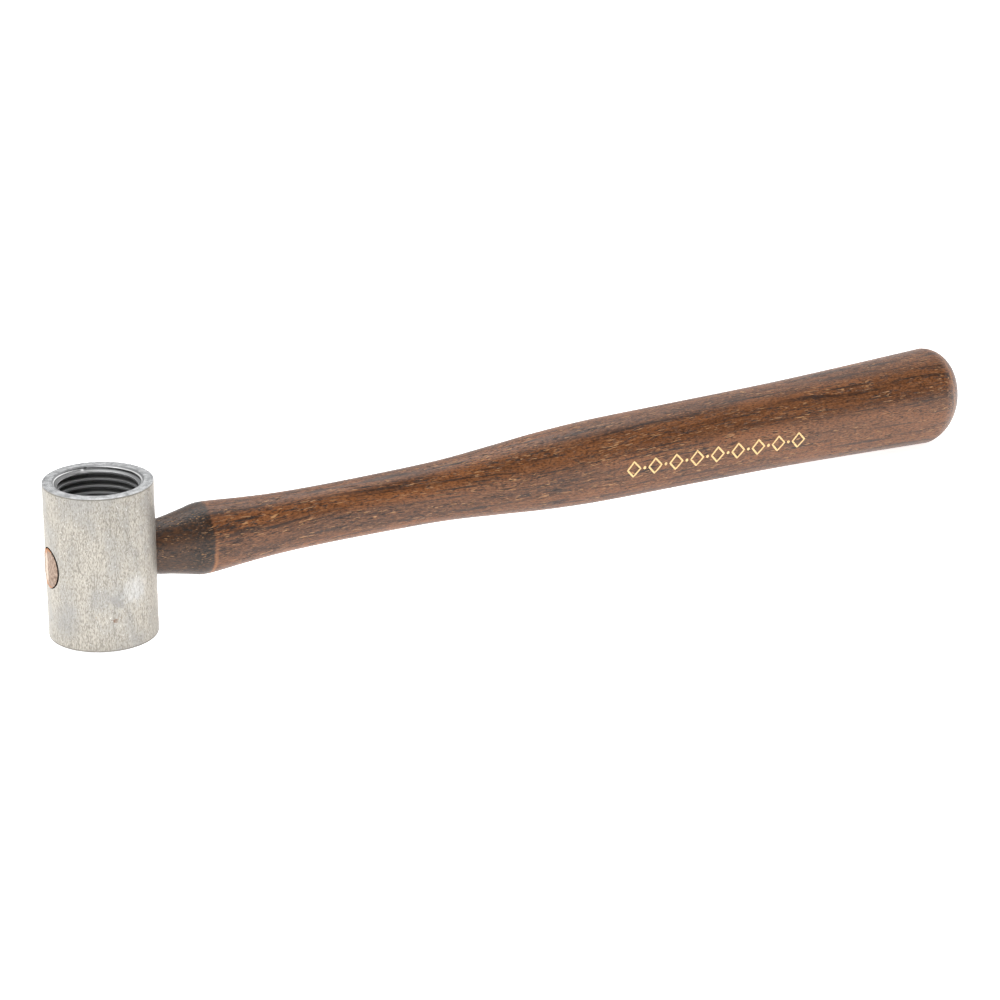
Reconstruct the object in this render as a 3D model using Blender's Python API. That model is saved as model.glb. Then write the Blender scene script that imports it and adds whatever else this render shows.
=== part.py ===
"""A small mallet body: a turned aluminium head with a threaded socket in each end for screw-in
faces, an oval hardwood handle whose tenon passes right through the head, and the wedge that
spreads the tenon. The head's axis is +Z, the handle runs along +X, and the head stands on z = 0.
All lengths are in metres."""

from math import asin, cos, pi, radians, sin, sqrt, tan

import bmesh
import bpy

# Head
HEAD_RADIUS = 0.015875
HEAD_HEIGHT = 0.0469
EDGE_BREAK = 0.00035
ROUND_STEPS = 48

# Threaded sockets: 60 degree thread, 25.4 mm across its roots
THREAD_PITCH = 0.0254 / 12
THREAD_ROOT_RADIUS = 0.0127
THREAD_DEPTH = 0.5413 * THREAD_PITCH
THREAD_CREST_RADIUS = THREAD_ROOT_RADIUS - THREAD_DEPTH
THREAD_ROOT_FLAT = THREAD_PITCH / 8
SOCKET_DEPTH = 0.0140
RELIEF_LENGTH = 0.0024
RELIEF_RADIUS = THREAD_ROOT_RADIUS + 0.00015
TAP_CLEARANCE = 0.0001
MOUTH_RADIUS = 0.01314
# Depth of the first groove below the mouth, on the side that faces the butt
GROOVE_START = 0.00117

# Handle, along +X from the head's axis
HANDLE_AXIS_HEIGHT = 0.0230
HANDLE_LENGTH = 0.3192
HOLE_HALF_HEIGHT = 0.00620
HOLE_HALF_WIDTH = 0.00510
HOLE_OVERRUN = 0.005
WALL_GAP = 0.0003
SADDLE_ROUNDS = 8
TENON_PROUD = 0.0003
# Distance from the head's axis and half the handle's height there
HANDLE_PROFILE = (
    (0.0140, 0.00752),
    (0.0175, 0.00836),
    (0.0207, 0.00888),
    (0.0240, 0.00956),
    (0.0270, 0.01020),
    (0.0300, 0.01092),
    (0.0325, 0.01106),
    (0.0365, 0.01082),
    (0.0445, 0.01016),
    (0.0560, 0.00946),
    (0.0700, 0.00919),
    (0.0950, 0.00937),
    (0.1150, 0.00991),
    (0.1340, 0.01141),
    (0.1500, 0.01278),
    (0.1700, 0.01380),
    (0.2050, 0.01427),
    (0.2500, 0.01498),
    (0.3192, 0.01742),
)
NECK_OVAL = 0.795
BUTT_OVAL = 0.755
BUTT_ROUND_LENGTH = 0.0100
BUTT_ROUND_DEPTH = 0.0084
# Above 1, the rounding is flatter than a quarter of an ellipse, nearer a chamfer
BUTT_ROUND_POWER = 1.2
BUTT_ROUND_STEPS = 8
OVAL_STEPS = 32
# Sections stand close together over the shoulder's crest and further apart along the grip
SHOULDER_SECTIONS = (0.0185, 0.0430, 8)
GRIP_SECTIONS = (0.0500, 0.3020, 29)

# Wedge and its kerf, a little past the tenon's middle
WEDGE_MIDDLE = 0.0012
WEDGE_THICK = 0.0018
WEDGE_TIP = 0.0005
WEDGE_LENGTH = 0.0200
KERF_LENGTH = 0.0215
KERF_OVERRUN = 0.002

# The head's axis lies this far from the middle of the whole mallet's length
HEAD_X = -(HANDLE_LENGTH - HEAD_RADIUS - TENON_PROUD) / 2


def clear_scene():
    for thing in list(bpy.data.objects):
        bpy.data.objects.remove(thing, do_unlink=True)


def finish_material(name, colour, roughness, metallic):
    material = bpy.data.materials.new(name)
    material.use_nodes = True
    shader = material.node_tree.nodes["Principled BSDF"]
    shader.inputs["Base Color"].default_value = (*colour, 1)
    shader.inputs["Roughness"].default_value = roughness
    shader.inputs["Metallic"].default_value = metallic
    return material


def new_object(name, shape, location, material=None):
    """An object made from a bmesh, with its faces turned outwards and shaded smooth."""
    bmesh.ops.recalc_face_normals(shape, faces=shape.faces)
    mesh = bpy.data.meshes.new(name)
    shape.to_mesh(mesh)
    shape.free()
    mesh.shade_smooth()
    mesh.set_sharp_from_angle(angle=radians(35))
    thing = bpy.data.objects.new(name, mesh)
    bpy.context.collection.objects.link(thing)
    thing.location = location
    if material:
        mesh.materials.append(material)
    return thing


def cutter(name, shape, location):
    thing = new_object(name, shape, location)
    thing.hide_render = True
    thing.display_type = "WIRE"
    return thing


def cut(thing, tool):
    boolean = thing.modifiers.new(tool.name, "BOOLEAN")
    boolean.operation = "DIFFERENCE"
    boolean.object = tool


def loft(rings):
    """A closed bmesh through rings of equally many points, with flat caps on its two ends."""
    shape = bmesh.new()
    loops = [[shape.verts.new(point) for point in ring] for ring in rings]
    count = len(rings[0])
    for near, far in zip(loops, loops[1:]):
        for i in range(count):
            j = (i + 1) % count
            shape.faces.new((near[i], near[j], far[j], far[i]))
    shape.faces.new(reversed(loops[0]))
    shape.faces.new(loops[-1])
    return shape


def turned(profile):
    """The solid of revolution about Z of a profile of (radius, height) that starts and ends on Z."""
    shape = bmesh.new()
    verts = [shape.verts.new((radius, 0, height)) for radius, height in profile]
    edges = [shape.edges.new(pair) for pair in zip(verts, verts[1:])]
    bmesh.ops.spin(shape, geom=verts + edges, axis=(0, 0, 1), angle=2 * pi, steps=ROUND_STEPS)
    bmesh.ops.remove_doubles(shape, verts=shape.verts, dist=1e-6)
    return shape


def head_profile():
    """Half the head's outline, from the floor of the upper socket round to that of the lower one."""
    middle = HEAD_HEIGHT / 2
    upper = [
        (0, middle - SOCKET_DEPTH),
        (RELIEF_RADIUS, middle - SOCKET_DEPTH),
        (RELIEF_RADIUS, middle - SOCKET_DEPTH + RELIEF_LENGTH),
        (THREAD_CREST_RADIUS, middle - SOCKET_DEPTH + RELIEF_LENGTH + THREAD_DEPTH),
        (THREAD_CREST_RADIUS, middle - MOUTH_RADIUS + THREAD_CREST_RADIUS),
        (MOUTH_RADIUS, middle),
        (HEAD_RADIUS - EDGE_BREAK, middle),
        (HEAD_RADIUS, middle - EDGE_BREAK),
    ]
    return upper + [(radius, -height) for radius, height in reversed(upper)]


def thread_groove():
    """The metal that the tap removes above the upper socket's relief: a trapezoid run up a helix."""
    reach = THREAD_DEPTH + TAP_CLEARANCE
    inner = THREAD_ROOT_RADIUS - reach
    root = THREAD_ROOT_FLAT / 2
    flank = root + reach * tan(radians(30))
    corners = ((inner, -flank), (THREAD_ROOT_RADIUS, -root), (THREAD_ROOT_RADIUS, root), (inner, flank))
    step_rise = THREAD_PITCH / ROUND_STEPS
    lowest = -(SOCKET_DEPTH - RELIEF_LENGTH / 2 - GROOVE_START) / step_rise
    highest = (GROOVE_START + THREAD_PITCH / 2) / step_rise
    rings = []
    # Each ring falls between two of the head's own steps, so that no two edges meet head-on
    for step in (whole + 0.5 for whole in range(int(lowest), int(highest) + 1)):
        angle = 2 * pi * step / ROUND_STEPS
        centre = HEAD_HEIGHT / 2 - GROOVE_START + step_rise * step
        rings.append([(r * cos(angle), r * sin(angle), centre + z) for r, z in corners])
    return loft(rings)


def oval(x, half_height, half_width):
    """The points of the handle's section at x, seen from the butt."""
    angles = [2 * pi * i / OVAL_STEPS for i in range(OVAL_STEPS)]
    return [(x, half_width * cos(a), half_height * sin(a)) for a in angles]


def half_height(x):
    """Half the handle's height at x: a smooth curve through the points of its profile."""
    xs = [point[0] for point in HANDLE_PROFILE]
    hs = [point[1] for point in HANDLE_PROFILE]
    slopes = [(hs[1] - hs[0]) / (xs[1] - xs[0])]
    slopes += [(hs[i + 1] - hs[i - 1]) / (xs[i + 1] - xs[i - 1]) for i in range(1, len(xs) - 1)]
    slopes += [(hs[-1] - hs[-2]) / (xs[-1] - xs[-2])]
    i = max(k for k in range(len(xs) - 1) if xs[k] <= x)
    span = xs[i + 1] - xs[i]
    t = (x - xs[i]) / span
    return (
        (2 * t**3 - 3 * t**2 + 1) * hs[i]
        + (t**3 - 2 * t**2 + t) * span * slopes[i]
        + (3 * t**2 - 2 * t**3) * hs[i + 1]
        + (t**3 - t**2) * span * slopes[i + 1]
    )


def evenly(first, last, count):
    return [first + (last - first) * i / (count - 1) for i in range(count)]


def half_width(x):
    oval_here = NECK_OVAL + (BUTT_OVAL - NECK_OVAL) * x / HANDLE_LENGTH
    return half_height(x) * oval_here


def on_drum(radius, y):
    """How far from the head's axis plane a cylinder of this radius about it reaches at y."""
    return sqrt(radius**2 - y**2)


def handle_rings():
    """The handle's sections from the tenon's sanded end, through the shoulder, to the butt."""
    tenon = oval(0, HOLE_HALF_HEIGHT - WALL_GAP, HOLE_HALF_WIDTH - WALL_GAP)
    sanded = [(-on_drum(HEAD_RADIUS + TENON_PROUD, y), y, z) for x, y, z in tenon]
    saddle = HEAD_RADIUS + WALL_GAP
    rings = [sanded, [(on_drum(saddle, y), y, z) for x, y, z in tenon]]
    # The shoulder's foot lies on the head's cylinder, so each point's x follows from its y
    foot = []
    for x, y, z in oval(saddle, 1, 1):
        for _ in range(SADDLE_ROUNDS):
            x = on_drum(saddle, y * half_width(x))
        foot.append((x, y * half_width(x), z * half_height(x)))
    rings.append(foot)
    stations = evenly(*SHOULDER_SECTIONS) + evenly(*GRIP_SECTIONS)
    rings += [oval(x, half_height(x), half_width(x)) for x in stations]
    round_start = HANDLE_LENGTH - BUTT_ROUND_LENGTH
    full = half_height(round_start)
    for i in range(BUTT_ROUND_STEPS + 1):
        turn = i / BUTT_ROUND_STEPS * pi / 2
        shrink = 1 - BUTT_ROUND_DEPTH / full * (1 - abs(cos(turn)) ** BUTT_ROUND_POWER)
        x = round_start + BUTT_ROUND_LENGTH * sin(turn) ** BUTT_ROUND_POWER
        rings.append(oval(x, full * shrink, half_width(round_start) * shrink))
    return rings


def wedge_rings(thick, tip, length, half_height_here):
    """A tapered plate from the tenon's sanded end towards the handle, its end face on the drum."""
    face = HEAD_RADIUS + TENON_PROUD
    rings = []
    for z in (-half_height_here, half_height_here):
        rings.append(
            [
                (-on_drum(face, WEDGE_MIDDLE - thick / 2), WEDGE_MIDDLE - thick / 2, z),
                (-face + length, WEDGE_MIDDLE - tip / 2, z),
                (-face + length, WEDGE_MIDDLE + tip / 2, z),
                (-on_drum(face, WEDGE_MIDDLE + thick / 2), WEDGE_MIDDLE + thick / 2, z),
            ]
        )
    return rings


def kerf_rings():
    """The V that the wedge opens in the tenon: the wedge with a gap all round, past both ends."""
    rings = wedge_rings(
        WEDGE_THICK + 2 * WALL_GAP, WEDGE_TIP + 2 * WALL_GAP, KERF_LENGTH, 2 * HOLE_HALF_HEIGHT
    )
    return [[(x - (KERF_OVERRUN if x < 0 else 0), y, z) for x, y, z in ring] for ring in rings]


def build_head():
    metal = finish_material("aluminium", (0.62, 0.59, 0.55), 0.40, 1.0)
    head = new_object("head", turned(head_profile()), (HEAD_X, 0, HEAD_HEIGHT / 2), metal)
    upper = cutter("upper_tap", thread_groove(), head.location)
    lower = cutter("lower_tap", thread_groove(), head.location)
    lower.rotation_euler = (pi, 0, 0)
    reach = HEAD_RADIUS + HOLE_OVERRUN
    hole = loft([oval(x, HOLE_HALF_HEIGHT, HOLE_HALF_WIDTH) for x in (-reach, reach)])
    handle_hole = cutter("handle_hole", hole, (HEAD_X, 0, HANDLE_AXIS_HEIGHT))
    for tool in (upper, lower, handle_hole):
        cut(head, tool)


def build_handle():
    wood = finish_material("dark_hardwood", (0.115, 0.048, 0.026), 0.42, 0.0)
    place = (HEAD_X, 0, HANDLE_AXIS_HEIGHT)
    handle = new_object("handle", loft(handle_rings()), place, wood)
    cut(handle, cutter("kerf", loft(kerf_rings()), place))


def build_wedge():
    wood = finish_material("pale_hardwood", (0.50, 0.34, 0.20), 0.55, 0.0)
    reach = (WEDGE_MIDDLE + WEDGE_THICK / 2) / (HOLE_HALF_WIDTH - WALL_GAP)
    edge = (HOLE_HALF_HEIGHT - WALL_GAP) * cos(asin(reach))
    rings = wedge_rings(WEDGE_THICK, WEDGE_TIP, WEDGE_LENGTH, edge)
    new_object("wedge", loft(rings), (HEAD_X, 0, HANDLE_AXIS_HEIGHT), wood)


clear_scene()
build_head()
build_handle()
build_wedge()
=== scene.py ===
from math import asin, cos, pi, radians, sin, sqrt

import bmesh
import bpy
from mathutils import Matrix, Vector


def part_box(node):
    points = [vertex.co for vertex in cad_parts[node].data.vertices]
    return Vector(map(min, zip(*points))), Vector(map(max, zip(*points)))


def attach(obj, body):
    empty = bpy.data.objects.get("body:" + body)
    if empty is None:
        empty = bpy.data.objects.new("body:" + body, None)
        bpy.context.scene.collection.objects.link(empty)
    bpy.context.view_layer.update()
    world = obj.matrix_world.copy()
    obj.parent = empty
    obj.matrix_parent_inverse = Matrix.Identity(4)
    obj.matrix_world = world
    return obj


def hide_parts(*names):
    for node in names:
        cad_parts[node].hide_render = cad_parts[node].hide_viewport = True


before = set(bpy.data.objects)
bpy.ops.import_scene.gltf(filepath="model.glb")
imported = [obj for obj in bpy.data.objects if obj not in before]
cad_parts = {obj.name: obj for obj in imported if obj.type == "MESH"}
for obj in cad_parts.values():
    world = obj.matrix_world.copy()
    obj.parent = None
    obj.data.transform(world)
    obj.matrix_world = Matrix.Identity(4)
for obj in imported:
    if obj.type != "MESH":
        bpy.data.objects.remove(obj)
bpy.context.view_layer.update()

# ---------------------------------------------------------------------------------------------
# Head: a length of aluminium bar, faced and edge-broken in the lathe, bored and tapped from both
# ends for screw-in faces, and drilled across, to an oval, for the handle. The bar is tumbled
# dull; the two rims, the countersinks and the thread's crests are left bright from the tools.

head_low, head_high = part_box("head")
head_x = (head_low.x + head_high.x) / 2
head_radius = (head_high.y - head_low.y) / 2
head_height = head_high.z
half_head = head_height / 2
edge_break = 0.00035
edge_steps = 5
round_steps = 180

thread_pitch = 0.0254 / 12
thread_root = 0.0127
thread_depth = 0.5413 * thread_pitch
thread_crest = thread_root - thread_depth
groove_start = 0.00117
rows_a_turn = 16
turns_cut = 9
socket_depth = 0.0140
mouth_radius = 0.01314
relief_radius = thread_root + 0.00015
relief_length = 0.0024
weld_gap = 0.000002
# Turn about the head's axis of the side on which the thread's painted shade starts lower
shade_turn = radians(32)

handle_low, handle_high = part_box("handle")
handle_z = (handle_low.z + handle_high.z) / 2
hole_half_height = 0.00620
hole_half_width = 0.00510
hole_overrun = 0.005
hole_steps = 96


class Wire:
    """An output in a node tree. Arithmetic on it adds Math nodes; add() makes any other node."""

    def __init__(self, tree, socket=None):
        self.tree = tree
        self.socket = socket

    def add(self, kind, settings=None, values=None, output=0):
        node = self.tree.nodes.new(kind)
        for name, value in (settings or {}).items():
            setattr(node, name, value)
        for key, value in (values or {}).items():
            if isinstance(value, Wire):
                self.tree.links.new(value.socket, node.inputs[key])
            else:
                node.inputs[key].default_value = value
        return Wire(self.tree, node.outputs[output])

    def math(self, operation, *values):
        return self.add("ShaderNodeMath", {"operation": operation}, dict(enumerate(values)))

    def __add__(self, other):
        return self.math("ADD", self, other)

    def __sub__(self, other):
        return self.math("SUBTRACT", self, other)

    def __rsub__(self, other):
        return self.math("SUBTRACT", other, self)

    def __mul__(self, other):
        return self.math("MULTIPLY", self, other)

    __radd__ = __add__
    __rmul__ = __mul__

    def __abs__(self):
        return self.math("ABSOLUTE", self)

    def split(self):
        """The X, Y and Z of a vector."""
        node = self.add("ShaderNodeSeparateXYZ", {}, {0: self}).socket.node
        return [Wire(self.tree, socket) for socket in node.outputs]

    def vector(self, x, y, z):
        return self.add("ShaderNodeCombineXYZ", {}, {0: x, 1: y, 2: z})

    def ramp(self, start, end, low=0.0, high=1.0, shape="SMOOTHSTEP"):
        """low until this reaches start, high from end on, and a smooth run between."""
        values = {"Value": self, "From Min": start, "From Max": end, "To Min": low, "To Max": high}
        return self.add("ShaderNodeMapRange", {"interpolation_type": shape}, values)

    def blend(self, first, second):
        """One colour where this is 0 and the other where it is 1."""
        return self.add("ShaderNodeMix", {"data_type": "RGBA"}, {0: self, 6: first, 7: second}, 2)

    def cloud(self, size, detail=2.0, shift=0.0, output=0):
        """Noise in cells of this size in metres along X, Y and Z; output 1 is its colour."""
        values = {"Vector": self, "Scale": [1 / s for s in size], "Location": (shift, shift, shift)}
        stretched = self.add("ShaderNodeMapping", {}, values)
        values = {"Vector": stretched, "Scale": 1.0, "Detail": detail}
        return self.add("ShaderNodeTexNoise", {}, values, output)

    def spot(self, centre, size):
        """1 at a point and 0 beyond this distance from it."""
        away = self.add("ShaderNodeVectorMath", {"operation": "DISTANCE"}, {0: self, 1: centre}, "Value")
        return 1 - away.ramp(0.25 * size, size)

    def into(self, shader, socket):
        self.tree.links.new(self.socket, shader.inputs[socket])

    def bumped(self, depth, strength=1.0):
        values = {"Height": self, "Distance": depth, "Strength": strength}
        return self.add("ShaderNodeBump", {}, values, "Normal")


def new_finish(name, centre, metallic=0.0, specular=0.5):
    """A material, its shader, and object coordinates measured from a centre."""
    material = bpy.data.materials.new(name)
    material.use_nodes = True
    shader = material.node_tree.nodes["Principled BSDF"]
    shader.inputs["Metallic"].default_value = metallic
    shader.inputs["Specular IOR Level"].default_value = specular
    place = Wire(material.node_tree).add("ShaderNodeTexCoord", {}, {}, "Object")
    values = {"Vector": place, "Location": [-c for c in centre]}
    return material, shader, place.add("ShaderNodeMapping", {}, values)


def settled(thing):
    """The plain mesh that an object's modifiers give. The object itself is removed."""
    seen = thing.evaluated_get(bpy.context.evaluated_depsgraph_get())
    mesh = bpy.data.meshes.new_from_object(seen)
    bpy.data.objects.remove(thing, do_unlink=True)
    return mesh


class Recipe:
    """A Geometry Nodes tree with a named input for each size, run once to make a plain mesh."""

    KINDS = {
        int: "NodeSocketInt",
        float: "NodeSocketFloat",
        bpy.types.Material: "NodeSocketMaterial",
        bpy.types.Object: "NodeSocketObject",
    }

    def __init__(self, name, **sizes):
        self.tree = bpy.data.node_groups.new(name, "GeometryNodeTree")
        self.sizes = sizes
        self.sockets = {}
        for key, value in sizes.items():
            kind = self.KINDS[type(value)]
            title = key.replace("_", " ")
            socket = self.tree.interface.new_socket(title, in_out="INPUT", socket_type=kind)
            self.sockets[key] = socket.identifier
        self.tree.interface.new_socket("mesh", in_out="OUTPUT", socket_type="NodeSocketGeometry")
        self.entry = self.tree.nodes.new("NodeGroupInput")
        self.start = Wire(self.tree)

    def __getitem__(self, key):
        return Wire(self.tree, self.entry.outputs[list(self.sizes).index(key)])

    def run(self, geometry):
        real = geometry.add("GeometryNodeRealizeInstances", {}, {"Geometry": geometry})
        values = {"Geometry": real, "Material": self["finish"]}
        painted = real.add("GeometryNodeSetMaterial", {}, values)
        way_out = self.tree.nodes.new("NodeGroupOutput")
        self.tree.links.new(painted.socket, way_out.inputs[0])
        holder = bpy.data.objects.new(self.tree.name, bpy.data.meshes.new(self.tree.name))
        bpy.context.scene.collection.objects.link(holder)
        modifier = holder.modifiers.new("recipe", "NODES")
        modifier.node_group = self.tree
        for key, value in self.sizes.items():
            modifier[self.sockets[key]] = value
        return settled(holder)


def tapped_socket(finish):
    """The wall of one socket, its mouth at z = 0: countersink, thread, and relief at the foot."""
    recipe = Recipe(
        "tapped_socket",
        finish=finish,
        columns=round_steps + 1,
        rows=rows_a_turn * turns_cut + 1,
        turns=float(turns_cut),
        pitch=thread_pitch,
        crest_radius=thread_crest,
        thread_depth=thread_depth,
        groove_start=groove_start,
        mouth_radius=mouth_radius,
        relief_radius=relief_radius,
        relief_length=relief_length,
        depth=socket_depth,
    )
    values = {"Size X": 1.0, "Size Y": 1.0, "Vertices X": recipe["columns"], "Vertices Y": recipe["rows"]}
    grid = recipe.start.add("GeometryNodeMeshGrid", {}, values)
    across, along, _ = grid.add("GeometryNodeInputPosition").split()
    turn = across + 0.5
    down = (0.5 - along) * recipe["turns"]
    # Height runs up the helix; the groove's middle is wherever down is a whole number
    height = recipe["pitch"] * (turn + 1 - down) - recipe["groove_start"]
    height = height.math("MINIMUM", height, 0.0)
    height = height.math("MAXIMUM", height, recipe["depth"] * -1.0)
    from_groove = abs(down.math("FRACT", down + 0.5) - 0.5)
    cut = from_groove.ramp(6 / 16, 1 / 16, shape="LINEAR")
    thread = recipe["crest_radius"] + recipe["thread_depth"] * cut
    countersink = recipe["mouth_radius"] + height
    above_relief = height + recipe["depth"] - recipe["relief_length"]
    relief = recipe["relief_radius"] - above_relief.math("MAXIMUM", above_relief, 0.0)
    radius = thread.math("MAXIMUM", thread.math("MAXIMUM", thread, countersink), relief)
    angle = turn * (2 * pi)
    spot = turn.vector(radius * turn.math("COSINE", angle), radius * turn.math("SINE", angle), height)
    wall = grid.add("GeometryNodeSetPosition", {}, {"Geometry": grid, "Position": spot})
    return recipe.run(wall.add("GeometryNodeMergeByDistance", {}, {"Geometry": wall, "Distance": 1e-6}))


def loft(rings):
    """A closed bmesh through rings of equally many points, with caps on its two ends."""
    shape = bmesh.new()
    loops = [[shape.verts.new(point) for point in ring] for ring in rings]
    count = len(rings[0])
    for near, far in zip(loops, loops[1:]):
        for i in range(count):
            j = (i + 1) % count
            shape.faces.new((near[i], near[j], far[j], far[i]))
    shape.faces.new(reversed(loops[0]))
    shape.faces.new(loops[-1])
    bmesh.ops.recalc_face_normals(shape, faces=shape.faces)
    return shape


def new_object(name, shape, material=None, sharp=35):
    """An object at the origin from a bmesh, shaded smooth but for edges sharper than an angle."""
    mesh = bpy.data.meshes.new(name)
    shape.to_mesh(mesh)
    shape.free()
    mesh.shade_smooth()
    mesh.set_sharp_from_angle(angle=radians(sharp))
    if material:
        mesh.materials.clear()
        mesh.materials.append(material)
    thing = bpy.data.objects.new(name, mesh)
    bpy.context.scene.collection.objects.link(thing)
    return thing


def cut_away(name, shape, tool, material, sharp=35):
    """The object left when one bmesh is cut out of another."""
    blank = new_object(name + "_blank", shape)
    cutter = new_object(name + "_cutter", tool)
    boolean = blank.modifiers.new("cut", "BOOLEAN")
    boolean.object = cutter
    left = settled(blank)
    bpy.data.objects.remove(cutter, do_unlink=True)
    result = bmesh.new()
    result.from_mesh(left)
    bmesh.ops.dissolve_degenerate(result, edges=result.edges, dist=1e-7)
    return new_object(name, result, material, sharp)


def oval(x, half_height, half_width, steps):
    angles = [2 * pi * i / steps for i in range(steps)]
    return [(x, half_width * cos(a), half_height * sin(a)) for a in angles]


aluminium, shader, place = new_finish("tumbled_aluminium", (head_x, 0, half_head), metallic=1.0)
x, y, z = place.split()
radius = place.math("SQRT", x * x + y * y)
below_rim = half_head - abs(z)
on_rim = (1 - below_rim.ramp(0.00005, 0.00030)) * radius.ramp(mouth_radius - 0.0002, mouth_radius)
in_socket = 1 - radius.ramp(mouth_radius, mouth_radius + 0.0003)

streak = place.cloud((0.00027, 0.00027, 0.00095), 4.0)
brushed = place.cloud((0.0005, 0.0005, 0.006), 2.0, 6.0)
patch = place.cloud((0.005, 0.005, 0.009), 5.0, 4.0)
speck = place.cloud((0.00055, 0.00055, 0.0008), 2.0, 9.0)
glint = place.cloud((0.0004, 0.0004, 0.0006), 2.0, 13.0)
grain = (streak * 0.8 + brushed * 0.2).ramp(0.37, 0.61)
wall = grain.blend((0.275, 0.257, 0.226, 1), (0.535, 0.50, 0.442, 1))
worn_grey = (patch * 0.6 + streak * 0.4).ramp(0.46, 0.62, 0.0, 0.55)
wall = worn_grey.blend(wall, (0.355, 0.352, 0.345, 1))
wall = speck.ramp(0.58, 0.72, 0.0, 0.60).blend(wall, (0.20, 0.18, 0.155, 1))
wall = glint.ramp(0.62, 0.74, 0.0, 0.65).blend(wall, (0.80, 0.79, 0.77, 1))
edge_line = 1 - abs(below_rim - 0.00040).ramp(0.00006, 0.00026)
wall = (edge_line * streak.ramp(0.30, 0.60, 0.3, 0.8)).blend(wall, (0.17, 0.16, 0.14, 1))
# Rust-brown and grey marks left by handling, and one pale patch that is a painted highlight:
# place from the head's middle, size, colour, strength
marks_and_highlight = (
    ((-0.0029, -0.0156, -0.0136), 0.0011, (0.20, 0.12, 0.08, 1), 0.75),
    ((-0.0018, -0.0157, -0.0137), 0.0008, (0.25, 0.16, 0.10, 1), 0.60),
    ((-0.0080, -0.0137, -0.0128), 0.0006, (0.30, 0.20, 0.10, 1), 0.80),
    ((-0.0020, -0.0158, -0.0079), 0.0030, (0.25, 0.255, 0.26, 1), 0.45),
    ((-0.0068, -0.0143, -0.0075), 0.0050, (0.33, 0.335, 0.34, 1), 0.35),
    ((-0.0145, -0.0065, -0.0151), 0.0075, (0.30, 0.305, 0.31, 1), 0.40),
    # A pale patch on the near side, low down: a painted highlight
    ((0.0035, -0.0155, -0.0054), 0.0060, (0.66, 0.67, 0.68, 1), 0.40),
    ((0.0054, -0.0149, 0.0167), 0.0005, (0.22, 0.17, 0.12, 1), 0.80),
)
# Their outlines wander by this much, so that none is round
wander = 0.0045
values = {0: place.cloud((0.0018, 0.0018, 0.0018), 3.0, 61.0, 1), 1: [wander] * 3, 2: place}
smudged = place.add("ShaderNodeVectorMath", {"operation": "MULTIPLY_ADD"}, values)
values = {0: smudged, 1: [wander / 2] * 3}
smudged = smudged.add("ShaderNodeVectorMath", {"operation": "SUBTRACT"}, values)
for centre, size, colour, strength in marks_and_highlight:
    dab = smudged.spot(centre, size) * streak.ramp(0.34, 0.60, 0.4, 1.2) * strength
    wall = dab.blend(wall, colour)
rings = place.vector(radius, 0.0, 0.0).cloud((0.00016, 1.0, 1.0), 2.0)
scuff = place.cloud((0.0012, 0.0012, 0.0012), 4.0, 2.0)
turned = (rings * 0.55 + scuff * 0.45).ramp(0.36, 0.62)
rim = turned.blend((0.22, 0.225, 0.23, 1), (0.60, 0.605, 0.61, 1))
# The thread's grooves are painted dark as shade, leaving the crests bright. The painted shade starts a
# little below the mouth, and lower on one side than on the other. Above it the first turn is painted
# light, and a dark painted shadow line marks the countersink's foot.
across = x * cos(shade_turn) - y * sin(shade_turn)
groove_shade = radius.ramp(thread_crest + 0.00001, thread_crest + 0.00012)
deep_shade = (below_rim - across * 0.045).ramp(0.00130, 0.00155)
painted_shadow_line = 1 - abs(below_rim - across * 0.02 - 0.00112).ramp(0.00010, 0.00028)
thread = groove_shade.blend((0.62, 0.625, 0.63, 1), (0.24, 0.24, 0.24, 1))
countersunk = rings.ramp(0.36, 0.64).blend((0.22, 0.223, 0.227, 1), (0.34, 0.344, 0.35, 1))
painted_light_turn = below_rim.ramp(0.00042, 0.00052) * (1 - below_rim.ramp(0.00070, 0.00090))
countersunk = painted_light_turn.blend(countersunk, (0.80, 0.80, 0.80, 1))
countersunk = (painted_shadow_line * 0.85).blend(countersunk, (0.07, 0.07, 0.07, 1))
thread = deep_shade.blend(countersunk, thread)
colour = on_rim.blend(in_socket.blend(wall, thread), rim)
# The drilled wall of the handle's hole is painted near black, as shade in the gap round the tenon
hole_shade = radius.ramp(mouth_radius + 0.0003, mouth_radius + 0.0005) * below_rim.ramp(0.0006, 0.0010)
hole_shade = hole_shade * (1 - radius.ramp(head_radius - 0.00025, head_radius - 0.00010))
colour = hole_shade.blend(colour, (0.030, 0.022, 0.016, 1))
# A nick in the rim's inner edge, drawn in paint only: a painted highlight for its burr and painted shade
# for the notch beside it
burr_highlight = place.spot((0.0004, 0.0121, half_head - 0.0005), 0.0009) * 0.8
colour = burr_highlight.blend(colour, (0.85, 0.85, 0.85, 1))
notch_shade = place.spot((0.0014, 0.0123, half_head - 0.0005), 0.0008) * 0.9
colour = notch_shade.blend(colour, (0.06, 0.06, 0.06, 1))
colour.into(shader, "Base Color")
machined = on_rim.math("MAXIMUM", on_rim, in_socket)
(machined.ramp(0.0, 1.0, 0.50, 0.46) + streak.ramp(0.3, 0.7, -0.05, 0.05)).into(shader, "Roughness")
relief = (1 - machined) * (streak + speck.ramp(0.62, 0.74, 0.0, -1.0)) + on_rim * rings
relief.bumped(0.00003, 0.8).into(shader, "Normal")


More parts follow.
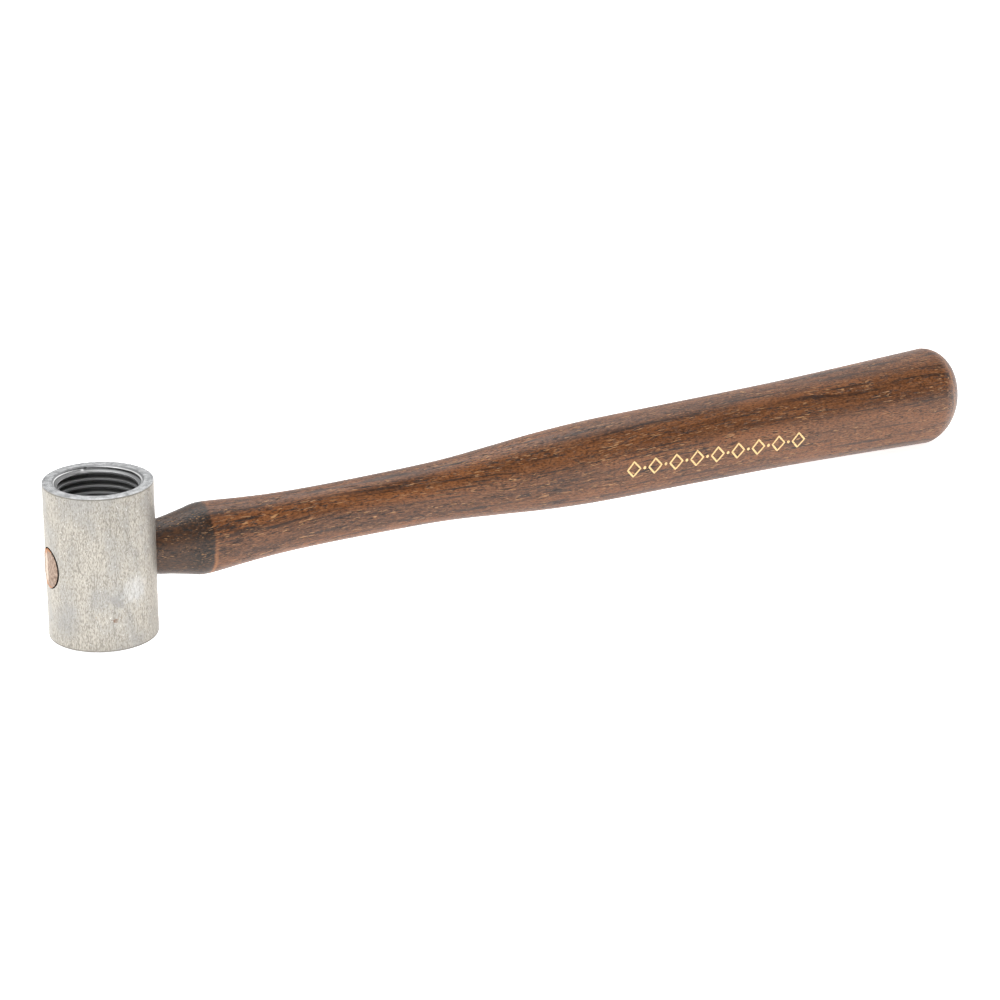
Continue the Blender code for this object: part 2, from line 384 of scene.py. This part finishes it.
def bar_with_sockets(socket):
    """The turned bar about its own middle, with a socket let into each end."""
    shape = bmesh.new()
    for end in (Matrix(), Matrix.Rotation(pi, 4, "X")):
        wall = socket.copy()
        wall.transform(end @ Matrix.Translation((0, 0, half_head)))
        shape.from_mesh(wall)
    corner = [
        (head_radius - edge_break * (1 - sin(turn)), half_head - edge_break * (1 - cos(turn)))
        for turn in (pi / 2 * i / edge_steps for i in range(edge_steps + 1))
    ]
    upper = [(mouth_radius, half_head)] + corner
    outline = upper + [(r, -h) for r, h in reversed(upper)]
    verts = [shape.verts.new((r, 0, h)) for r, h in outline]
    edges = [shape.edges.new(pair) for pair in zip(verts, verts[1:])]
    bmesh.ops.spin(shape, geom=verts + edges, axis=(0, 0, 1), angle=2 * pi, steps=round_steps)
    bmesh.ops.remove_doubles(shape, verts=shape.verts, dist=weld_gap)
    floors = bmesh.ops.holes_fill(shape, edges=[e for e in shape.edges if e.is_boundary], sides=0)
    bmesh.ops.poke(shape, faces=floors["faces"])
    bmesh.ops.recalc_face_normals(shape, faces=shape.faces)
    bmesh.ops.translate(shape, verts=shape.verts, vec=(head_x, 0, half_head))
    return shape


reach = head_radius + hole_overrun
hole = loft([oval(x, hole_half_height, hole_half_width, hole_steps) for x in (-reach, reach)])
bmesh.ops.translate(hole, verts=hole.verts, vec=(head_x, 0, handle_z))
head = cut_away("mallet_head", bar_with_sockets(tapped_socket(aluminium)), hole, aluminium, 28)
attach(head, "root")
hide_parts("head")

# ---------------------------------------------------------------------------------------------
# Handle: one billet of dark open-pored hardwood, turned and sanded oval, with a shoulder that
# seats on the head and a tenon that goes right through it. The shoulder has been dipped nearly
# black; the rest is oiled. The tenon's end is sanded to the head's curve and sawn for the wedge.

tenon_end, butt_end = handle_low.x, handle_high.x
tenon_proud = head_x - head_radius - tenon_end
handle_length = butt_end - head_x
# Distance from the head's axis and half the handle's height there
handle_profile = (
    (0.0140, 0.00752),
    (0.0175, 0.00836),
    (0.0207, 0.00888),
    (0.0240, 0.00956),
    (0.0270, 0.01020),
    (0.0300, 0.01092),
    (0.0325, 0.01106),
    (0.0365, 0.01082),
    (0.0445, 0.01016),
    (0.0560, 0.00946),
    (0.0700, 0.00919),
    (0.0950, 0.00937),
    (0.1150, 0.00991),
    (0.1340, 0.01141),
    (0.1500, 0.01278),
    (0.1700, 0.01380),
    (0.2050, 0.01427),
    (0.2500, 0.01498),
    (0.3192, 0.01742),
)
neck_oval = 0.795
butt_oval = 0.755
butt_round_length = 0.0100
butt_round_depth = 0.0084
butt_round_power = 1.2
butt_steps = 20
oval_steps = 96
section_step = 0.0012
saddle_gap = 0.00006
tenon_gap = 0.00022
tenon_slack = 0.00030
tenon_shift = 0.00013
foot_rounds = 8
stained_length = 0.0324

wedge_middle = 0.0012
wedge_thick = 0.0018
wedge_tip = 0.0005
wedge_length = 0.0200
wedge_gap = 0.00005
kerf_overrun = 0.002
plate_steps = 32
plate_power = 6


def half_height(x):
    """Half the handle's height at x: a smooth curve through the points of its profile."""
    xs, hs = zip(*handle_profile)
    slopes = [(hs[1] - hs[0]) / (xs[1] - xs[0])]
    slopes += [(hs[i + 1] - hs[i - 1]) / (xs[i + 1] - xs[i - 1]) for i in range(1, len(xs) - 1)]
    slopes += [(hs[-1] - hs[-2]) / (xs[-1] - xs[-2])]
    i = max(k for k in range(len(xs) - 1) if xs[k] <= x)
    span = xs[i + 1] - xs[i]
    t = (x - xs[i]) / span
    return (
        (2 * t**3 - 3 * t**2 + 1) * hs[i]
        + (t**3 - 2 * t**2 + t) * span * slopes[i]
        + (3 * t**2 - 2 * t**3) * hs[i + 1]
        + (t**3 - t**2) * span * slopes[i + 1]
    )


def half_width(x):
    return half_height(x) * (neck_oval + (butt_oval - neck_oval) * x / handle_length)


def on_drum(radius, y):
    return sqrt(radius**2 - y**2)


def handle_rings():
    """The handle's sections about the head's axis, from the tenon's end to the butt."""
    tall, wide = hole_half_height - tenon_gap, hole_half_width - tenon_slack
    face, saddle = head_radius + tenon_proud, head_radius + saddle_gap
    rings = []
    for share, back in ((0.05, 0), (0.35, 0), (0.65, 0), (0.9, 0), (0.975, 0.00003), (1, 0.00012)):
        ring = oval(0, tall * share, wide * share, oval_steps)
        ring = [(x, y + tenon_shift, z) for x, y, z in ring]
        rings.append([(back - on_drum(face, y), y, z) for _, y, z in ring])
    tenon = [(x, y + tenon_shift, z) for x, y, z in oval(0, tall, wide, oval_steps)]
    rings.append([(x, y, z) for x, y, z in tenon])
    rings.append([(on_drum(saddle, y), y, z) for _, y, z in tenon])
    foot = []
    for x, y, z in oval(saddle, 1, 1, oval_steps):
        for _ in range(foot_rounds):
            x = on_drum(saddle, y * half_width(x))
        foot.append((x, y * half_width(x), z * half_height(x)))
    rings.append(foot)
    round_start = handle_length - butt_round_length
    first = saddle + 1.5 * section_step
    count = int((round_start - first) / section_step)
    for i in range(count):
        x = first + (round_start - first) * i / count
        rings.append(oval(x, half_height(x), half_width(x), oval_steps))
    full = half_height(round_start)
    for i in range(butt_steps + 1):
        turn = i / butt_steps * pi / 2
        shrink = 1 - butt_round_depth / full * (1 - abs(cos(turn)) ** butt_round_power)
        x = round_start + butt_round_length * sin(turn) ** butt_round_power
        rings.append(oval(x, full * shrink, half_width(round_start) * shrink, oval_steps))
    return rings


def plate_rings(thick, tip, length, tall, overrun=0.0):
    """A tapered upright plate with eased edges, from inside the tenon to its end face."""
    face = head_radius + tenon_proud
    rings = []
    for share in (0, 0.25, 0.5, 0.75, 0.95, 1):
        ring = []
        for i in range(plate_steps):
            a = 2 * pi * (i + 0.5) / plate_steps
            ease = (abs(cos(a)) ** plate_power + abs(sin(a)) ** plate_power) ** (-1 / plate_power)
            y = wedge_middle + (tip + (thick - tip) * share) / 2 * ease * cos(a)
            x = length - face
            ring.append((x + (-on_drum(face, y) - overrun - x) * share, y, tall * ease * sin(a)))
        rings.append(ring)
    return rings


wood, shader, place = new_finish("dark_hardwood", (head_x, 0, handle_z), specular=0.45)
x, y, z = place.split()
warp = place.cloud((0.060, 0.016, 0.016), 1.0, 3.0)
bent = place.vector(x, y + (warp - 0.5) * 0.004, z + (warp - 0.5) * 0.006)
figure = bent.cloud((0.090, 0.0050, 0.0050), 3.0)
glow = bent.cloud((0.045, 0.0080, 0.0080), 2.0, 51.0)
fibre = bent.cloud((0.018, 0.00040, 0.00040), 3.0, 5.0)
layer = bent.cloud((0.060, 0.0011, 0.0011), 2.0, 11.0)
mottle = bent.cloud((0.0011, 0.00034, 0.00034), 3.0, 23.0)
pore = bent.cloud((0.0036, 0.00028, 0.00028), 1.0, 17.0)
fleck = bent.cloud((0.0034, 0.00028, 0.00028), 1.0, 29.0)
crowd = bent.cloud((0.020, 0.0022, 0.0022), 2.0, 37.0)
ray = place.cloud((0.0014, 0.0009, 0.0040), 2.0, 41.0)
body = figure.ramp(0.33, 0.66).blend((0.070, 0.024, 0.009, 1), (0.190, 0.068, 0.022, 1))
body = glow.ramp(0.48, 0.68, 0.0, 0.60).blend(body, (0.290, 0.102, 0.031, 1))
body = fibre.ramp(0.34, 0.66, 0.0, 0.55).blend(body, (0.215, 0.084, 0.031, 1))
body = mottle.ramp(0.34, 0.50, 0.85, 0.0).blend(body, (0.034, 0.013, 0.006, 1))
body = mottle.ramp(0.54, 0.68, 0.0, 0.45).blend(body, (0.340, 0.150, 0.062, 1))
body = layer.ramp(0.54, 0.66, 0.0, 0.85).blend(body, (0.030, 0.014, 0.009, 1))
body = ray.ramp(0.58, 0.72, 0.0, 0.25).blend(body, (0.33, 0.14, 0.06, 1))
dark_pore = pore.ramp(0.58, 0.65) * crowd.ramp(0.36, 0.58, 0.25, 1.0)
tan_fleck = fleck.ramp(0.63, 0.69) * crowd.ramp(0.40, 0.60, 0.15, 1.0)
body = (dark_pore * 0.9).blend(body, (0.012, 0.006, 0.004, 1))
body = (tan_fleck * 0.9).blend(body, (0.50, 0.26, 0.11, 1))
# The dip's ragged edge, and the worn line just past it
ragged = x + (fibre - 0.5) * 0.0022 + (crowd - 0.5) * 0.0014
stained = 1 - ragged.ramp(stained_length - 0.0005, stained_length + 0.0004)
worn = 1 - ragged.ramp(stained_length + 0.0005, stained_length + 0.0016) - stained
worn = worn * z.ramp(-0.006, 0.004, 0.55, 0.10)
body = worn.blend(body, (0.42, 0.17, 0.06, 1))
dip = figure.ramp(0.35, 0.65).blend((0.009, 0.006, 0.004, 1), (0.028, 0.014, 0.008, 1))
thin = x.ramp(0.0215, 0.0285, 1.0, 0.0) * fibre.ramp(0.38, 0.62, 0.0, 0.50)
dip = thin.blend(dip, (0.120, 0.050, 0.020, 1))
dip = mottle.ramp(0.50, 0.62, 0.0, 0.75).blend(dip, (0.105, 0.047, 0.020, 1))
dip = (dark_pore * 0.8).blend(dip, (0.006, 0.004, 0.003, 1))
dip = (tan_fleck * 0.8).blend(dip, (0.40, 0.21, 0.09, 1))
body = (stained * 0.95).blend(body, dip)
# Wear where the butt begins to round, sealed end grain on the butt, bare end grain on the tenon
butt_edge = 1 - abs(x + 0.10 * z - (handle_length - 0.0050)).ramp(0.0003, 0.0011)
butt_edge = butt_edge * mottle.ramp(0.36, 0.60, 0.1, 0.65)
body = butt_edge.blend(body, (0.40, 0.17, 0.065, 1))
butt_rim = x + (fibre - 0.5) * 0.0010
butt_rim = butt_rim.ramp(handle_length - 0.0027, handle_length - 0.0020)
end_pore = place.cloud((0.004, 0.00035, 0.00035), 2.0, 31.0)
sealed = end_pore.ramp(0.36, 0.64).blend((0.030, 0.022, 0.018, 1), (0.095, 0.060, 0.042, 1))
body = (butt_rim * 0.92).blend(body, sealed)
# The tenon's sides near its end, inside the hole, are painted near black as shade in the gap round them
drum = place.math("SQRT", x * x + y * y) * x.math("LESS_THAN", x, 0.0)
body = drum.ramp(head_radius - 0.0020, head_radius - 0.0019).blend(body, (0.020, 0.012, 0.009, 1))
end_grain = drum.ramp(head_radius + 0.00010, head_radius + 0.00020)
ends = place.cloud((0.004, 0.00030, 0.0011), 3.0, 7.0)
bare = ends.ramp(0.38, 0.62).blend((0.20, 0.125, 0.085, 1), (0.50, 0.36, 0.27, 1))
tips = (abs(z) + (ends - 0.5) * 0.0012).ramp(0.0050, 0.0057)
bare = (tips * 0.9).blend(bare, (0.50, 0.19, 0.06, 1))
body = end_grain.blend(body, bare)
body.into(shader, "Base Color")
gloss = figure.ramp(0.3, 0.7, 0.31, 0.40) + dark_pore * 0.2 + end_grain * 0.2
gloss.into(shader, "Roughness")
relief = fibre * 0.25 - dark_pore * 1.0 - tan_fleck * 0.5
relief.bumped(0.00008, 0.7).into(shader, "Normal")

kerf = loft(
    plate_rings(
        wedge_thick + 2 * wedge_gap, wedge_tip + 2 * wedge_gap, wedge_length + wedge_gap,
        2 * hole_half_height, kerf_overrun,
    )
)
blank = loft(handle_rings())
for part in (kerf, blank):
    bmesh.ops.translate(part, verts=part.verts, vec=(head_x, 0, handle_z))
handle = cut_away("handle_stick", blank, kerf, wood, 40)
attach(handle, "root")
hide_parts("handle")

# ---------------------------------------------------------------------------------------------
# Wedge: a thin split of paler hardwood, driven into the tenon's kerf from the far side of the
# head and sanded off with it.

wedge_side = wedge_middle + wedge_thick / 2
edge = (hole_half_height - tenon_gap) * cos(asin(wedge_side / hole_half_width))
pale_wood, shader, place = new_finish("pale_hardwood", (head_x, 0, handle_z), specular=0.4)
split = place.cloud((0.012, 0.00025, 0.0009), 3.0)
tips = abs(place.split()[2]).ramp(edge - 0.0022, edge - 0.0004)
body = split.ramp(0.35, 0.68).blend((0.55, 0.41, 0.31, 1), (0.80, 0.66, 0.54, 1))
(tips * 0.8).blend(body, (0.50, 0.20, 0.07, 1)).into(shader, "Base Color")
split.ramp(0.3, 0.7, 0.50, 0.65).into(shader, "Roughness")
split.bumped(0.00005, 0.6).into(shader, "Normal")
plate = loft(plate_rings(wedge_thick, wedge_tip, wedge_length, edge))
bmesh.ops.translate(plate, verts=plate.verts, vec=(head_x, 0, handle_z))
wedge = new_object("tenon_wedge", plate, pale_wood, 50)
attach(wedge, "root")
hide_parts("wedge")

# ---------------------------------------------------------------------------------------------
# Stamp: a plain border of lozenges and dots in gilt foil, pressed into the near side of the grip
# with a hot die.

gilt, shader, place = new_finish("gilt_foil", (head_x, 0, handle_z), metallic=0.55)
foil_wear = place.cloud((0.0012, 0.0004, 0.0004), 3.0)
body = foil_wear.ramp(0.58, 0.72, 0.0, 0.8).blend((0.86, 0.60, 0.29, 1), (0.25, 0.13, 0.06, 1))
body.into(shader, "Base Color")
foil_wear.ramp(0.3, 0.7, 0.40, 0.55).into(shader, "Roughness")
foil_wear.bumped(0.00003, 0.5).into(shader, "Normal")


def gilt_border(wood_object):
    recipe = Recipe(
        "gilt_border",
        finish=gilt,
        wood=wood_object,
        lozenges=9,
        pitch=0.0083,
        first_x=head_x + 0.1795,
        first_z=handle_z - 0.0012,
        drop=-0.00013,
        lozenge_length=0.0050,
        lozenge_height=0.0026,
        stroke=0.00058,
        foil=0.00010,
        dot_radius=0.00055,
        far_side=-0.05,
    )
    start = recipe.start
    ring = start.add(
        "GeometryNodeCurvePrimitiveQuadrilateral",
        {"mode": "KITE"},
        {
            "Width": recipe["lozenge_length"],
            "Bottom Height": recipe["lozenge_height"],
            "Top Height": recipe["lozenge_height"],
        },
    )
    ring = start.add("GeometryNodeSubdivideCurve", {}, {"Curve": ring, "Cuts": 7})
    ring = start.add("GeometryNodeSetCurveNormal", {"mode": "Z_UP"}, {"Curve": ring})
    strip = start.add(
        "GeometryNodeCurvePrimitiveQuadrilateral",
        {"mode": "RECTANGLE"},
        {"Width": recipe["stroke"], "Height": recipe["foil"]},
    )
    lozenge = start.add("GeometryNodeCurveToMesh", {}, {"Curve": ring, "Profile Curve": strip})
    values = {"Vertices": 14, "Radius": recipe["dot_radius"], "Depth": recipe["foil"]}
    dot = start.add("GeometryNodeMeshCylinder", {}, values)
    step = start.vector(recipe["pitch"], 0.0, recipe["drop"])
    rows = []
    for shape, shift, count in (
        (lozenge, 0.0, recipe["lozenges"]),
        (dot, 0.5, recipe["lozenges"] - 1),
    ):
        first_x = recipe["first_x"] + recipe["pitch"] * shift
        first = start.vector(first_x, 0.0, recipe["first_z"] + recipe["drop"] * shift)
        values = {"Count": count, "Start Location": first, "Offset": step}
        line = start.add("GeometryNodeMeshLine", {"mode": "OFFSET"}, values)
        values = {"Points": line, "Instance": shape, "Rotation": (pi / 2, 0, 0)}
        rows.append(start.add("GeometryNodeInstanceOnPoints", {}, values))
    joined = start.add("GeometryNodeJoinGeometry")
    for row in rows:
        start.tree.links.new(row.socket, joined.socket.node.inputs[0])
    flat = start.add("GeometryNodeRealizeInstances", {}, {"Geometry": joined})
    x, y, z = start.add("GeometryNodeInputPosition").split()
    target = start.add("GeometryNodeObjectInfo", {}, {"Object": recipe["wood"]}, "Geometry")
    values = {
        "Target Geometry": target,
        "Source Position": start.vector(x, recipe["far_side"], z),
        "Ray Direction": (0, 1, 0),
        "Ray Length": 1.0,
    }
    hit = start.add("GeometryNodeRaycast", {}, values, "Hit Position")
    pressed = start.vector(x, hit.split()[1] + y, z)
    wrapped = start.add("GeometryNodeSetPosition", {}, {"Geometry": flat, "Position": pressed})
    return recipe.run(wrapped)


border = bmesh.new()
border.from_mesh(gilt_border(handle))
bmesh.ops.recalc_face_normals(border, faces=border.faces)
stamp = new_object("gilt_stamp", border, gilt, 40)
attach(stamp, "root")

# ---------------------------------------------------------------------------------------------
# Table: a white sheet. The mallet tips over its head's lower rim until the butt touches too, so
# the sheet rises a little from the one to the other.

touch_back = 0.55
touch_share = 0.995
butt_x = butt_end - touch_back * butt_round_length
butt_drop = half_height(handle_length - butt_round_length) * touch_share
rise = (handle_z - butt_drop) / (butt_x - head_x - head_radius)
sheet_half = 6.0
sheet_gap = 0.0001
sheet = bmesh.new()
bmesh.ops.create_grid(sheet, x_segments=4, y_segments=4, size=sheet_half)
for corner in sheet.verts:
    corner.co.z = (corner.co.x - head_x - head_radius) * rise - sheet_gap
white, shader, place = new_finish("white_sheet", (0, 0, 0), specular=0.1)
paper = place.cloud((0.02, 0.02, 0.02), 3.0).ramp(0.3, 0.7)
paper.blend((0.93, 0.93, 0.93, 1), (0.95, 0.95, 0.95, 1)).into(shader, "Base Color")
shader.inputs["Roughness"].default_value = 0.9
shader.inputs["Emission Color"].default_value = (1, 1, 1, 1)
shader.inputs["Emission Strength"].default_value = 0.85
table = new_object("white_sheet", sheet, white)

# ---------------------------------------------------------------------------------------------
# Light: white walls all round, brighter to the right, with one soft-edged black flag high on the
# camera's right that puts the dark band along the handle, and a wide soft box overhead.
# Camera: a 90 mm lens on the head's near side, looking down along the handle.

azimuth, elevation, roll = radians(32.135), radians(20.484), radians(0.974)
aim = Vector((head_x + 0.1356, 0, 0.0159))
distance = 0.7915
ahead = Vector((sin(azimuth) * cos(elevation), cos(azimuth) * cos(elevation), -sin(elevation)))
level = Vector((cos(azimuth), -sin(azimuth), 0))
upright = level.cross(ahead)
right = level * cos(roll) + upright * sin(roll)
up = upright * cos(roll) - level * sin(roll)
lens = bpy.data.cameras.new("camera")
lens.lens = 90
lens.sensor_width = 36
camera = bpy.data.objects.new("camera", lens)
aimed = Matrix((right, up, -ahead)).transposed().to_4x4()
camera.matrix_world = Matrix.Translation(aim - ahead * distance) @ aimed
bpy.context.scene.collection.objects.link(camera)
bpy.context.scene.camera = camera

world = bpy.data.worlds.new("studio")
world.use_nodes = True
bpy.context.scene.world = world
walls = Wire(world.node_tree)
towards = walls.add("ShaderNodeTexCoord", {}, {}, "Generated")
flag = Vector((0.50, -0.74, 0.45)).normalized()
values = {0: towards, 1: flag}
facing = walls.add("ShaderNodeVectorMath", {"operation": "DOT_PRODUCT"}, values, "Value")
brightness = facing.ramp(0.55, 0.93, 1.0, 0.03)
values = {0: towards, 1: level}
to_right = walls.add("ShaderNodeVectorMath", {"operation": "DOT_PRODUCT"}, values, "Value")
brightness = brightness * to_right.ramp(-0.8, 0.8, 0.84, 1.26)
seen = walls.add("ShaderNodeLightPath", {}, {}, "Is Camera Ray")
backdrop = 1.1
tone = brightness + seen * (backdrop - brightness)
background = world.node_tree.nodes["Background"]
tone.into(background, "Strength")
background.inputs["Color"].default_value = (1, 1, 1, 1)

lamp = bpy.data.lights.new("soft_box", "AREA")
lamp.shape = "RECTANGLE"
lamp.size, lamp.size_y = 1.2, 0.8
lamp.energy = 6
box = bpy.data.objects.new("soft_box", lamp)
box.location = (0, 0.15, 0.9)
bpy.context.scene.collection.objects.link(box)
bpy.context.scene.view_settings.view_transform = "Standard"
